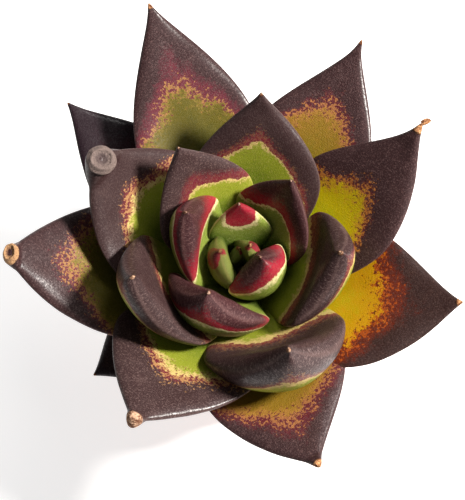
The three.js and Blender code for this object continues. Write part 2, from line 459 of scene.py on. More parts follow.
class LeafSkin:
    """The pattern that every leaf wears, built once as a node group, and the gloss on it.

    A leaf's attributes say where a point is: share runs from root to point, across from the right
    margin (-1) to the left (1), face from the back (-1) to the inner side (1), tip is the distance to
    the point, and skin a place on the flattened leaf, both in millimetres. A ragged border divides the
    green root from the dark point.
    """

    IOR = 1.42
    SPECULAR = 0.13
    COAT_ROUGHNESS = 0.3
    RELIEF = 0.0004
    NUMBERS = tuple(part.name for part in fields(LeafPattern) if part.name != "tone")
    COLOURS = tuple(part.name for part in fields(LeafColours))

    def __init__(self) -> None:
        """Builds the node group."""
        inputs: dict[str, object] = dict.fromkeys(("length", *self.NUMBERS), 1.0)
        inputs |= {f"{name} colour": BLACK for name in self.COLOURS}
        outputs = {"colour": "NodeSocketColor"}
        outputs |= dict.fromkeys(("roughness", "coat", "height"), "NodeSocketFloat")
        self.w, given, out = new_group("leaf_skin", inputs, outputs)
        self.get = given.outputs
        w = self.w
        self.share, self.across, self.face = (w.attribute(name) for name in ("share", "across", "face"))
        self.skin = w.attribute("skin", "Vector")
        self.bloom = w.grain(self.skin, 2.2, 3.0, 0.85)
        self.chips = w.swing(self.skin, 1.0, 3.0, 0.75, 0.2)
        self.past = self.past_border()

        colour = w.blend(w.spread(self.past, -0.15, 0.15), self.green_root(), self.dark_point())
        colour = self.pale_edge_and_painted_highlight(colour)
        crust = w.grain(self.skin, 0.9, 4.0, 0.7)
        dried = self.dryness(crust)
        husk = w.blend(w.spread(crust, 0.42, 0.6), paint(92, 56, 38), self.get["dry colour"])
        rough = w.maths("MULTIPLY_ADD", self.bloom, 0.3, 0.3)
        fresh = w.maths("SUBTRACT", 1.0, dried)
        pores = w.grain(self.skin, 3.6, 2.0, 0.6)
        height = w.maths("ADD", w.times(pores, 0.5), w.times(self.bloom, 0.4))
        w.feed(out.inputs["colour"], w.blend(dried, colour, husk))
        w.feed(out.inputs["roughness"], w.maths("ADD", rough, w.times(dried, 0.4), clamp=True))
        w.feed(out.inputs["coat"], w.times(w.spread(self.bloom, 0.4, 0.68, 0.1, 0.6), fresh))
        w.feed(out.inputs["height"], w.maths("ADD", height, w.times(crust, dried, 2.0)))

    def past_border(self) -> Socket:
        """Measures how far a place is past the ragged border.

        Returns:
            A socket with the millimetres towards the leaf's point, negative in the green root.
        """
        w, get = self.w, self.get
        front = w.spread(self.face, -0.12, 0.12)
        bend = w.maths("MULTIPLY_ADD", front, -1.8, 3.5)
        arch = w.maths("SUBTRACT", 1.0, w.maths("POWER", w.maths("ABSOLUTE", self.across), bend))
        middle = w.between(get["back"], get["front"], front)
        margin = w.between(get["right"], get["left"], w.maths("MULTIPLY_ADD", self.across, 0.5, 0.5))
        border = w.between(margin, middle, arch)
        wander = w.swing(self.skin, 0.12, 3.0, 0.6, 0.4)
        clumps = w.swing(self.skin, 0.38, 3.0, 0.7, 0.3)
        ragged = w.maths("ADD", w.times(wander, 14.0), w.times(clumps, 13.0))
        ragged = w.times(get["ragged"], w.maths("ADD", ragged, w.times(self.chips, 13.0)))
        return w.maths("MULTIPLY_ADD", w.maths("SUBTRACT", self.share, border), get["length"], ragged)

    def green_root(self) -> Socket:
        """Colours the root: deep in the heart, lighter towards the border, a pale fringe and freckles.

        Returns:
            The colour socket.
        """
        w, get, past = self.w, self.get, self.past
        tint = w.maths("MULTIPLY_ADD", w.grain(self.skin, 0.10, 3.0, 0.5), 6.0, past)
        lighter = w.spread(tint, w.times(get["length"], -0.26), 1.0)
        green = w.blend(lighter, get["deep colour"], get["green colour"])
        cells = w.grain(self.skin, 2.8, 2.0, 0.6)
        green = w.blend(w.times(w.spread(cells, 0.45, 0.75), 0.18), green, get["pale colour"])
        start = w.times(get["fringe"], -1.0)
        fringe = w.spread(w.maths("MULTIPLY_ADD", self.chips, 3.0, past), start, w.times(start, 0.12))
        green = w.blend(w.times(fringe, 0.9), green, get["pale colour"])
        # freckles are thickest near the border
        spots = w.grain(self.skin, 1.5, 2.5, 0.6, 0.2)
        freckles = w.spread(w.maths("SUBTRACT", spots, w.spread(past, -9.0, 0.0, 0.77, 0.57)), 0.0, 0.03)
        freckles = w.times(freckles, w.spread(past, -11.0, -7.0), get["freckles"])
        return w.blend(freckles, green, get["band colour"])

    def dark_point(self) -> Socket:
        """Colours the point: a red band beside the border, then brown purple with a bloom.

        Returns:
            The colour socket.
        """
        w, get, past = self.w, self.get, self.past
        mottle = w.grain(self.skin, 0.22, 3.0, 0.6)
        frosted = w.spread(self.bloom, 0.5, 0.68)
        dark = w.blend(w.times(frosted, 0.55, get["bloom"]), get["dark colour"], get["frost colour"])
        dark = w.blend(w.times(w.spread(mottle, 0.5, 0.85), 0.16), dark, get["frost colour"])
        red = w.blend(w.times(frosted, 0.45), get["band colour"], get["frost colour"])
        band_end = w.maths("MULTIPLY_ADD", mottle, 2.0, get["band"])
        speckled = w.maths("MULTIPLY_ADD", w.maths("SUBTRACT", self.bloom, 0.5), 9.0, past)
        dark = w.blend(w.spread(speckled, w.times(band_end, 0.25), band_end), red, dark)
        # light chips left behind inside the red band
        flakes = w.grain(self.skin, 1.3, 3.0, 0.65, 0.2)
        left = w.spread(w.maths("SUBTRACT", flakes, w.spread(past, 0.0, 8.0, 0.46, 0.68)), 0.0, 0.03)
        left = w.times(left, w.spread(past, 8.0, 5.0), get["freckles"])
        return w.blend(left, dark, get["fleck colour"])

    def pale_edge_and_painted_highlight(self, colour: Socket) -> Socket:
        """Lightens the thin margin: a pale edge on the green root, a painted highlight on the dark point.

        Args:
            colour: the leaf's colour so far.

        Returns:
            The colour socket with the margin in it.
        """
        w, past = self.w, self.past
        rim = w.spread(w.maths("ABSOLUTE", self.face), 0.26, 0.05)
        strength = w.times(rim, w.spread(past, -0.6, 0.6, 0.5, 0.22))
        # painted highlight: on the dark point the margin is lightened towards the frost colour
        lighter = w.blend(w.spread(past, -0.6, 0.6), self.get["pale colour"], self.get["frost colour"])
        return w.blend(strength, colour, lighter)

    def dryness(self, crust: Socket) -> Socket:
        """Finds the dry end of the point, its edge broken up by the crust.

        Args:
            crust: the crust's noise.

        Returns:
            A socket that is 1 where the leaf is dry and 0 elsewhere.
        """
        w, dry = self.w, self.get["dry"]
        reach = w.maths("MULTIPLY_ADD", w.maths("SUBTRACT", crust, 0.5), 1.2, w.attribute("tip"))
        return w.spread(reach, dry, w.times(dry, 0.8))

    def material(self, name: str, length: float, pattern: LeafPattern) -> bpy.types.Material:
        """Makes one leaf's own skin.

        Args:
            name: the material's name.
            length: the leaf's length in millimetres.
            pattern: its pattern and tone.

        Returns:
            The material.
        """
        colours = PALETTE[pattern.tone]
        material, w, shader = new_material(name)
        group = w.node("ShaderNodeGroup", node_tree=self.w.tree)
        group.inputs["length"].default_value = length
        for label in self.NUMBERS:
            group.inputs[label].default_value = getattr(pattern, label)
        for label in self.COLOURS:
            group.inputs[f"{label} colour"].default_value = getattr(colours, label)
        w.feed(shader.inputs["Base Color"], group.outputs["colour"])
        w.feed(shader.inputs["Roughness"], group.outputs["roughness"])
        w.feed(shader.inputs["Coat Weight"], group.outputs["coat"])
        shader.inputs["IOR"].default_value = self.IOR
        shader.inputs["Specular IOR Level"].default_value = self.SPECULAR
        shader.inputs["Coat Roughness"].default_value = self.COAT_ROUGHNESS
        add_bump(w, shader, group.outputs["height"], self.RELIEF)
        return material


# ---------------------------------------------------------------- leaves


@dataclass(frozen=True)
class LeafShape:
    """The form of one leaf. Defaults are shared by most of them.

    Pitch is the climb from level at the root and at the point, sweep how far the leaf turns to its
    left on the way, and ease above 1 leaves the curl for the end. cup, plump, swell, shoulder, belly
    and root_width are shares; bead is half the thickness of the blunt point and reach its length.
    radius and rank say where the root is when its order of age does not.
    """

    azimuth: float
    length: float
    width: float
    thickness: float
    start_pitch: float
    end_pitch: float
    sweep: float = 0.0
    ease: float = 1.0
    cup: float = 0.18
    point: float = 1.25
    bead: float = 0.6
    reach: float = 2.6
    plump: float = 0.6
    swell: float = 0.16
    shoulder: float = 0.36
    belly: float = 0.68
    root_width: float = 0.5
    nipple: float = 0.0
    radius: float | None = None
    rank: int | None = None


def curled(
    *numbers: float, point: float = 1.1, cup: float = 0.25, radius: float | None = None
) -> LeafShape:
    """Shapes a leaf that curls up over the heart and ends in a thick, blunt point with a nipple.

    Args:
        numbers: azimuth, length, width, thickness, both pitches and the sweep, as in LeafShape.
        point, cup, radius: as in LeafShape.

    Returns:
        The leaf's shape.
    """
    return LeafShape(
        *numbers, ease=1.3, cup=cup, point=point, bead=0.45, reach=1.8, plump=0.43, swell=0.42,
        nipple=NIPPLE, radius=radius,
    )


def bud(*numbers: float, ease: float, radius: float, rank: int | None = None) -> LeafShape:
    """Shapes one of the smallest leaves, which stand upright in the heart.

    Args:
        numbers: azimuth, length, width, thickness and both pitches, as in LeafShape.
        ease, radius, rank: as in LeafShape.

    Returns:
        The leaf's shape.
    """
    return LeafShape(*numbers, ease=ease, plump=0.45, nipple=NIPPLE, radius=radius, rank=rank)


@dataclass
class Leaf:
    """One fleshy leaf: its shape, its pattern and its mesh."""

    name: str
    node: str
    shape: LeafShape
    pattern: LeafPattern
    radius: float
    height: float
    seed: int
    slot: str
    steps: int = 200
    rings: int = 60
    around: int = 40
    root_rings: int = 3
    piece: bpy.types.Object | None = field(default=None)

    def directions(self, share: np.ndarray) -> tuple[np.ndarray, np.ndarray, np.ndarray]:
        """Gives the leaf's own axes along its midline.

        Args:
            share: places from root (0) to point (1).

        Returns:
            Arrays of unit vectors: along the leaf, across it, and out of its inner face.
        """
        s = self.shape
        pitch = np.radians(s.start_pitch + (s.end_pitch - s.start_pitch) * share**s.ease)
        azimuth = np.radians(s.azimuth + s.sweep * share**1.5)
        ahead = np.cos(pitch)
        along = np.stack([ahead * np.cos(azimuth), ahead * np.sin(azimuth), np.sin(pitch)], 1)
        side = np.stack([-np.sin(azimuth), np.cos(azimuth), 0 * azimuth], 1)
        return along, side, np.cross(along, side)

    def midline(self, share: np.ndarray) -> np.ndarray:
        """Follows the leaf's midline from its root.

        Args:
            share: places from root (0) to point (1).

        Returns:
            Points in millimetres.
        """
        s = self.shape
        along, _, _ = self.directions((np.arange(self.steps) + 0.5) / self.steps)
        turn = math.radians(s.azimuth)
        start = np.array([self.radius * math.cos(turn), self.radius * math.sin(turn), self.height])
        path = np.vstack([start, start + np.cumsum(along * s.length / self.steps, 0)])
        marks = np.linspace(0, 1, self.steps + 1)
        return np.stack([np.interp(share, marks, path[:, k]) for k in range(3)], 1)

    def blade(self, share: np.ndarray) -> np.ndarray:
        """Gives the leaf's outline.

        Args:
            share: places from root (0) to point (1).

        Returns:
            Half the width there, as a share of the widest.
        """
        root, widest, belly = self.shape.root_width, 0.46, 1.75
        lower = root + (1 - root) * np.sin(0.5 * np.pi * np.clip(share / widest, 0, 1)) ** 1.2
        narrowing = np.clip((share - widest) / (1 - widest), 0, 1) ** belly
        upper = np.clip(1 - narrowing, 0, 1) ** self.shape.point
        return np.where(share < widest, lower, upper)

    def surface(self, share: np.ndarray, angle: np.ndarray, fill: np.ndarray) -> np.ndarray:
        """Finds points on the leaf's skin.

        Args:
            share: places from root to point.
            angle: angles round the cross-section, 0 and pi at the margins, pi/2 on the inner face.
            fill: 1 on the skin, less than 1 inside the rounded root.

        Returns:
            Points in millimetres.
        """
        s = self.shape
        along, side, face = self.directions(share)
        reach = s.reach / s.length
        bead = s.bead * np.sqrt(np.clip(1 - ((share - (1 - reach)) / reach) ** 2, 0, 1))
        blade = self.blade(share)
        half = np.hypot(s.width / 2 * blade, bead)
        fullness = blade**s.plump * (0.55 + 0.45 * smooth(share / 0.3))
        thick = np.hypot(s.thickness * fullness, 2 * bead)
        cup = s.cup * half * (0.3 + 0.7 * smooth(share / 0.5)) * (1 - 0.9 * smooth((share - 0.5) / 0.45))
        keel = 1 + 0.3 * smooth((share - 0.3) / 0.7)
        across, up = np.cos(angle), np.sin(angle)
        rounding = np.clip(1 - np.abs(across) ** 4, 0, 1) ** 0.6
        shoulder = (s.shoulder + s.swell * smooth((share - 0.4) / 0.4)) * rounding
        rise = np.where(up >= 0, shoulder * thick, -s.belly * thick * np.abs(up) ** keel)
        lift = (cup * np.abs(across) ** 2.2 + rise) * fill
        return self.midline(share) + side * (half * across * fill)[:, None] + face * lift[:, None]

    def build(self) -> None:
        """Models the leaf from a ball drawn out along the midline, with its place attributes."""
        piece, ball = unit_ball(self.name, self.around, self.rings)
        ring = np.round((1 - np.arccos(np.clip(ball[:, 2], -1, 1)) / np.pi) * self.rings)
        angle = np.arctan2(ball[:, 1], ball[:, 0])
        cap = np.clip(ring / self.root_rings, 0, 1)
        fill = np.sqrt(1 - (1 - cap) ** 2)
        climb = np.clip((ring - self.root_rings) / (self.rings - self.root_rings), 0, 1)
        share = 1 - (1 - climb) ** 1.3
        points = self.surface(share, angle, fill)
        points += self.unevenness(share, points)
        to_point = np.linalg.norm(points - self.midline(np.array([1.0])), axis=1)
        nipple = self.shape.nipple
        if nipple:
            along, _, _ = self.directions(share)
            points += along * (nipple * np.exp(-((to_point / nipple) ** 2)))[:, None]
        write_points(piece.data, points)
        self.mark(piece.data, share, angle, to_point)
        smoothing = piece.modifiers.new("smooth", "SUBSURF")
        smoothing.levels = smoothing.render_levels = 1
        bpy.ops.object.modifier_apply(modifier=smoothing.name)
        bpy.ops.object.shade_smooth()
        self.piece = piece

    def unevenness(self, share: np.ndarray, points: np.ndarray) -> np.ndarray:
        """Gives small swellings of living flesh, as offsets in millimetres.

        Args:
            share: places from root to point.
            points: the same places on the skin, in millimetres.

        Returns:
            An offset out of the leaf's inner face for each point, none at the leaf's own point.
        """
        _, _, face = self.directions(share)
        offsets = np.zeros(len(share))
        for i, point in enumerate(points):
            place = Vector(point) * 0.085 + Vector((self.seed * 7.3, 0.0, 0.0))
            small = Vector(point) * 0.3 + Vector((0.0, self.seed * 3.1, 0.0))
            offsets[i] = 0.42 * noise.noise(place) + 0.10 * noise.noise(small)
        quiet = np.clip((1 - share) * 6, 0, 1)
        return face * (offsets * quiet)[:, None]

    def mark(self, mesh: bpy.types.Mesh, share: np.ndarray, angle: np.ndarray, tip: np.ndarray) -> None:
        """Stores where each point is on the leaf, for its pattern to follow.

        Args:
            mesh: the leaf's mesh.
            share, angle: places along the leaf and round it.
            tip: distances to the leaf's point in millimetres.
        """
        s = self.shape
        across, face = np.cos(angle), np.sin(angle)
        half = s.width / 2 * self.blade(share)
        store(mesh, "share", share)
        store(mesh, "across", across)
        store(mesh, "face", face)
        store(mesh, "tip", tip)
        skin = np.stack([across * half, share * s.length, face * 2.0 + self.seed * 41.0], 1)
        places = mesh.attributes.new("skin", "FLOAT_VECTOR", "POINT")
        places.data.foreach_set("vector", skin.ravel().astype(np.float32))

    def finish(self, skin: LeafSkin) -> None:
        """Args:
            skin: the shared leaf pattern.
        """
        self.piece.data.materials.clear()
        self.piece.data.materials.append(
            skin.material(f"{self.name}_skin", self.shape.length, self.pattern)
        )
        declare(self.piece, self.node)


# ---------------------------------------------------------------- dry scars and the curled spike


@dataclass(frozen=True)
class ScarCrust:
    """A dry crust: rings from a dark pit to a pale rim, broken up by grain."""

    rim: Colour
    core: Colour
    rings: float = 26.0
    relief: float = 0.0004

    def material(self, name: str) -> bpy.types.Material:
        """Makes the finish; the attribute "out" is the distance from the pit, 1 at the edge.

        Args:
            name: the material's name.

        Returns:
            The material.
        """
        material, w, shader = new_material(name)
        place = w.place()
        coarse = w.grain(place, 900.0, 4.0, 0.7)
        fine = w.grain(place, 2600.0, 3.0, 0.7)
        wave = w.maths("MULTIPLY_ADD", w.maths("SUBTRACT", coarse, 0.5), 0.7, w.attribute("out"))
        colour = w.blend(w.spread(wave, 0.22, 0.55), self.core, self.rim)
        ring = w.maths("SINE", w.times(wave, self.rings))
        colour = w.blend(w.times(w.spread(ring, 0.3, 1.0), 0.18), colour, self.core)
        colour = w.blend(w.times(w.spread(fine, 0.52, 0.64), 0.8), colour, self.core)
        w.feed(shader.inputs["Base Color"], colour)
        shader.inputs["Roughness"].default_value = 0.75
        add_bump(w, shader, w.maths("ADD", coarse, w.times(fine, 0.6)), self.relief)
        return material


@dataclass(frozen=True)
class Scar:
    """A round dry scar near a leaf's point: a low dome with a rim and a pit, in millimetres.

    tilt turns it from facing out of the leaf's inner side (0) to facing along the leaf (90). The rim
    and the pit are given as shares of the dome.
    """

    leaf: str
    share: float
    lift: float
    tilt: float
    wide: float
    tall: float
    height: float
    crust: ScarCrust
    rim_out: float = 0.70
    rim_width: float = 0.14
    rim_rise: float = 0.40
    pit_width: float = 0.30
    pit_depth: float = 0.45

    def build(self, leaf: Leaf) -> None:
        """Models the scar from a flattened ball, set on the leaf.

        Args:
            leaf: the leaf that carries it.
        """
        piece, ball = unit_ball(f"{self.leaf}_scar", 48, 36)
        out = np.hypot(ball[:, 0], ball[:, 1])
        ridge = self.rim_rise * np.exp(-(((out - self.rim_out) / self.rim_width) ** 2))
        ridge -= self.pit_depth * np.exp(-((out / self.pit_width) ** 2))
        rise = np.where(ball[:, 2] >= 0, ball[:, 2] + ridge * smooth(ball[:, 2] / 0.3), 0.7 * ball[:, 2])
        rough = np.array([noise.noise(Vector(p) * 2.6) + 0.6 * noise.noise(Vector(p) * 7.0) for p in ball])
        rise = rise + 0.16 * rough
        spread = 1 + 0.07 * np.array([noise.noise(Vector((p[0], p[1], 3.0)) * 1.6) for p in ball])
        along, side, face = (axis[0] for axis in leaf.directions(np.array([self.share])))
        turn = math.radians(self.tilt)
        normal = face * math.cos(turn) + along * math.sin(turn)
        up = np.cross(normal, side)
        centre = leaf.midline(np.array([self.share]))[0] + face * self.lift
        wide = side * (self.wide * ball[:, 0] * spread)[:, None]
        tall = up * (self.tall * ball[:, 1] * spread)[:, None]
        write_points(piece.data, centre + wide + tall + normal * (self.height * rise)[:, None])
        store(piece.data, "out", out)
        bpy.ops.object.shade_smooth()
        piece.data.materials.append(self.crust.material(f"{self.leaf}_scar_crust"))
        declare(piece, leaf.node)


@dataclass(frozen=True)
class Spike:
    """The long dried point of one leaf, curled over, as a leaf shape of its own."""

    leaf: str
    length: float
    width: float
    start_pitch: float
    end_pitch: float
    sweep: float

    def build(self, leaf: Leaf, skin: LeafSkin) -> None:
        """Models the spike on the leaf's point.

        Args:
            leaf: the leaf that ends in it.
            skin: the shared leaf pattern, here dry all over.
        """
        x, y, z = leaf.midline(np.array([0.995]))[0]
        shape = LeafShape(
            math.degrees(math.atan2(y, x)), self.length, self.width, self.width * 0.8,
            self.start_pitch, self.end_pitch, self.sweep,
            cup=0.0, point=0.8, bead=0.25, reach=1.0, plump=1.0, root_width=0.9,
        )
        all_dry = LeafPattern(leaf.pattern.tone, dry=30.0)
        point = Leaf(
            f"{self.leaf}_spike", leaf.node, shape, all_dry, math.hypot(x, y), z, leaf.seed + 60, leaf.slot,
        )
        point.build()
        point.finish(skin)


@dataclass
class Rosette:
    """All the leaves, from the short old ones at the bottom to the heart."""

    low: tuple[float, float] = (9.0, 54.0)
    high: tuple[float, float] = (2.5, 63.0)
    ranks: int = 22
    under: tuple[float, float] = (8.0, 51.5)
    old_leaves: int = 13
    leaves: list[Leaf] = field(default_factory=list)
    scars: tuple[Scar, ...] = (
        Scar("leaf_14", 0.97, 1.5, 52, 4.0, 3.9, 1.3, ScarCrust(paint(100, 84, 78), paint(62, 46, 44))),
        Scar("leaf_11", 0.975, 0.5, 48, 3.0, 2.1, 1.5, ScarCrust(paint(156, 118, 80), paint(70, 36, 20))),
    )
    spike: Spike = Spike("leaf_12", 2.8, 1.6, 20, -30, -30)

    def plan(self) -> list[Leaf]:
        """Lays out every leaf in order of age, the short ones under the rosette first.

        Returns:
            The leaves, not yet modelled.
        """
        tone = LeafTone
        under = LeafPattern(tone.SHADED, 0.5, 0.35, 0.25, 0.25)
        heart = LeafPattern(tone.HEART, 0.90, 0.72, 0.95, 0.95, 0.08, 0.3, 0.0, 3)
        short = [
            (LeafShape(18, 34, 27, 4.2, -5, 12), under),
            (LeafShape(252, 28, 25, 4.2, -5, 10), under),
            (LeafShape(318, 28, 25, 4.2, -6, 8), under),
            (LeafShape(84, 38, 27, 4.2, -4, 14), under),
        ]
        rosette = [
            (LeafShape(216, 40, 27, 5, 0, 14), LeafPattern(tone.SHADED, 0.4, 0.3, 0.2, 0.2)),
            (LeafShape(136, 60, 30, 5, 6, 22), LeafPattern(tone.SHADED, 0.45, 0.4, 0.3, 0.3, band=22)),
            (LeafShape(283, 53.5, 39, 5.5, 8, 22, 18, bead=1.0, reach=1.6, rank=3),
             LeafPattern(tone.TAN, 0.70, 0.5, 0.45, 0.45, 0.5, 4, 0.9, 7, dry=2.2)),
            # painted glow: this leaf's root is painted bright gold as if lit through from behind
            (LeafShape(342, 53.5, 40, 5.5, 10, 26, 16),
             LeafPattern(tone.GOLD_PAINTED_GLOW, 0.58, 0.5, 0.45, 0.30, 0.9, 2, 1.2, 10, dry=2.0)),
            (LeafShape(60, 65, 35, 5.5, 14, 34, 4, point=1.5),
             LeafPattern(tone.TAN, 0.69, 0.5, 0.45, 0.3, 0.9, 5, 1.2, 6, dry=1.6)),
            (LeafShape(109, 71.5, 34, 6, 18, 34, 5),
             LeafPattern(tone.OLIVE, 0.65, 0.5, 0.38, 0.3, 1.0, 4, 1.3, 12, dry=2.0)),
            (LeafShape(186, 61, 38, 6, 15, 40, -6, point=0.95, bead=1.9, reach=1.9),
             LeafPattern(tone.OLIVE, 0.68, 0.5, 0.48, 0.50, 0.8, 4, 1.2, 5, dry=1.2)),
            # painted glow: this leaf's root is painted bright lime as if lit through from behind
            (LeafShape(25, 59.5, 33, 6, 20, 48, 24, point=1.45, bead=0.9, reach=4.0),
             LeafPattern(tone.LIME_PAINTED_GLOW, 0.57, 0.5, 0.40, 0.12, 0.7, 4, 1.2, 4, dry=3.4)),
            (LeafShape(240, 57, 40, 6, 15, 42, 2, bead=1.8, reach=1.8),
             LeafPattern(tone.FRESH, 0.60, 0.5, 0.44, 0.22, 0.45, 3, 0.8, 3, dry=3.4)),
            (LeafShape(156, 52, 39, 6, 24, 70, -12, 1.3, point=1.05, bead=2.8, reach=3.2),
             LeafPattern(tone.FRESH, 0.66, 0.5, 0.16, 0.52, 0.4, 3, 0.8, 4, dry=0.2, bloom=0.4)),
            (LeafShape(81, 48, 35, 6, 34, 68, 6, 1.3),
             LeafPattern(tone.FRESH, 0.70, 0.5, 0.42, 0.16, 0.3, 1.5, 0.2, 3, dry=1.0, bloom=0.3)),
            (curled(290, 52, 38, 9.5, 5, 108, -8),
             LeafPattern(tone.FRESH, 0.38, 0.83, 0.36, 0.30, 0.25, 3, 0.3, 2, dry=0.9)),
            (curled(208, 47, 34, 7.5, 18, 100, -4),
             LeafPattern(tone.FRESH, 0.50, 0.89, 0.36, 0.42, 0.2, 2.5, 0.3, 2.5, dry=0.9)),
            (curled(349, 38, 33, 7.5, 20, 100, -8),
             LeafPattern(tone.FRESH, 0.46, 0.88, 0.40, 0.28, 0.2, 2.5, 0.3, 4, dry=0.9)),
            (LeafShape(128, 41, 29, 5.5, 44, 74, ease=1.3),
             LeafPattern(tone.FRESH, 0.65, 0.5, 0.20, 0.49, 0.2, 1.5, 0.1, 4.5, dry=0.6)),
            (curled(242, 35, 29, 8, 25, 114, 4, cup=0.3),
             LeafPattern(tone.YOUNG, 0.44, 0.80, 0.42, 0.40, 0.15, 2.2, 0.1, 4, dry=0.8)),
            (LeafShape(48, 33, 24, 5, 50, 84, ease=1.4),
             LeafPattern(tone.YOUNG, 0.62, 0.5, 0.52, 0.12, 0.15, 1.2, 0.1, 5, dry=0.5)),
            (curled(161, 33, 25, 7, 43, 102, 14, point=1.25),
             LeafPattern(tone.YOUNG, 0.60, 0.92, 0.48, 0.50, 0.12, 2.2, 0.1, 7, dry=0.7)),
            (curled(315, 23, 19, 7.5, 42, 120, cup=0.3, radius=1.0),
             LeafPattern(tone.YOUNG, 0.50, 0.78, 0.60, 0.50, 0.12, 2.2, 0.1, 5, dry=0.7)),
            (LeafShape(96, 23.5, 17, 4.2, 64, 88, ease=1.3),
             LeafPattern(tone.YOUNG, 0.61, 0.6, 0.84, 0.80, 0.12, 2.0, 0.1, 12, dry=0.6)),
            (bud(199, 19, 16, 5.5, 62, 96, ease=1.2, radius=2.2), heart),
            (bud(33, 14, 11, 4.5, 78, 92, ease=1.2, radius=0.8), heart),
            (bud(120, 11, 8, 4, 78, 90, ease=1.0, radius=0.6, rank=20),
             LeafPattern(tone.HEART, 0.92, 0.92, 0.95, 0.95, 0.08, 0.3, 0.0, 3)),
        ]
        self.leaves = []
        for shape, pattern in short:
            self.add(shape, pattern, *self.under)
        for order, (shape, pattern) in enumerate(rosette):
            age = (order if shape.rank is None else shape.rank) / self.ranks
            radius = self.low[0] + (self.high[0] - self.low[0]) * age
            height = self.low[1] + (self.high[1] - self.low[1]) * age
            self.add(shape, pattern, radius if shape.radius is None else shape.radius, height)
        return self.leaves

    def add(self, shape: LeafShape, pattern: LeafPattern, radius: float, height: float) -> None:
        """Adds the next leaf.

        Args:
            shape, pattern: the leaf's own.
            radius, height: its root's distance from the axis and height, in millimetres.
        """
        number = len(self.leaves) + 1
        slot = "old_leaf" if number <= self.old_leaves else "young_leaf"
        name = f"leaf_{number:02d}"
        self.leaves.append(Leaf(f"{name}_blade", name, shape, pattern, radius, height, number, slot))

    def build(self) -> None:
        """Models and dresses every leaf, then the dry ends that three of them carry."""
        skin = LeafSkin()
        for leaf in self.plan():
            leaf.build()
            leaf.finish(skin)
        by_name = {leaf.node: leaf for leaf in self.leaves}
        for scar in self.scars:
            scar.build(by_name[scar.leaf])
        self.spike.build(by_name[self.spike.leaf], skin)


# ---------------------------------------------------------------- pot, soil and stem


@dataclass(frozen=True)
class Terracotta:
    """Red clay: uneven firing, faint turning lines, and pale salts towards the base and the rim.

    Salts fade away at these heights, in metres, and turning is radians of the lines' wave in a metre.
    """

    low_salts: float = 0.012
    high_salts: tuple[float, float] = (0.036, 0.047)
    turning: float = 4200.0
    relief: float = 0.00022

    def material(self) -> bpy.types.Material:
        """Makes the finish.

        Returns:
            The material.
        """
        material, w, shader = new_material("terracotta")
        place = w.place()
        split = w.node("ShaderNodeSeparateXYZ")
        w.feed(split.inputs[0], place)
        level = split.outputs["Z"]
        cloud = w.grain(place, 55.0, 4.0, 0.6)
        sand = w.grain(place, 1400.0, 3.0, 0.7)
        colour = w.blend(w.spread(cloud, 0.35, 0.68), paint(168, 90, 58), paint(194, 116, 78))
        colour = w.blend(w.times(w.spread(sand, 0.56, 0.7), 0.35), colour, paint(132, 66, 42))
        low, high = w.spread(level, self.low_salts, 0.0), w.spread(level, *self.high_salts, 0.0, 0.6)
        salts = w.maths("MULTIPLY_ADD", w.maths("ADD", low, high), 0.22, w.grain(place, 130.0, 5.0, 0.68))
        colour = w.blend(w.times(w.spread(salts, 0.58, 0.76), 0.6), colour, paint(220, 190, 168))
        w.feed(shader.inputs["Base Color"], colour)
        shader.inputs["Roughness"].default_value = 0.88
        lines = w.maths("SINE", w.maths("MULTIPLY_ADD", level, self.turning, w.times(cloud, 5.0)))
        add_bump(w, shader, w.maths("ADD", w.times(lines, 0.18), w.times(sand, 0.8)), self.relief)
        return material


